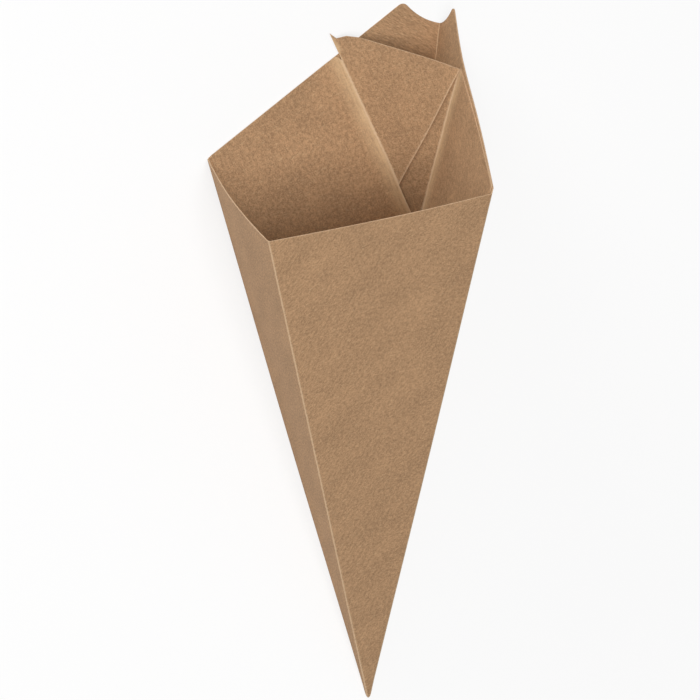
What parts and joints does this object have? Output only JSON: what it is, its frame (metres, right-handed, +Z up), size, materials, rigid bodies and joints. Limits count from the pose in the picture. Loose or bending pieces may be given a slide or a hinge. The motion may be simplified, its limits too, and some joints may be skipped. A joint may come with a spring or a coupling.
{
  "type": "cone paper cup",
  "caption": "Folded kraft board cone with a square pointed body, raised back ears and a triangular sauce pocket across its back corner.",
  "frame": {"origin": "centre of the bounding box in plan, on the surface that the cup lies on", "axes": "+Z up from that surface, +Y from the pointed tip to the open mouth, +X across the back panel towards the raised pocket corner"},
  "size_m": [0.1162, 0.2508, 0.087],
  "materials": {
    "kraft_board": "matte uncoated kraft fibre"
  },
  "bodies": {
    "root": {"cup": "kraft_board"}
  },
  "joints": []
}
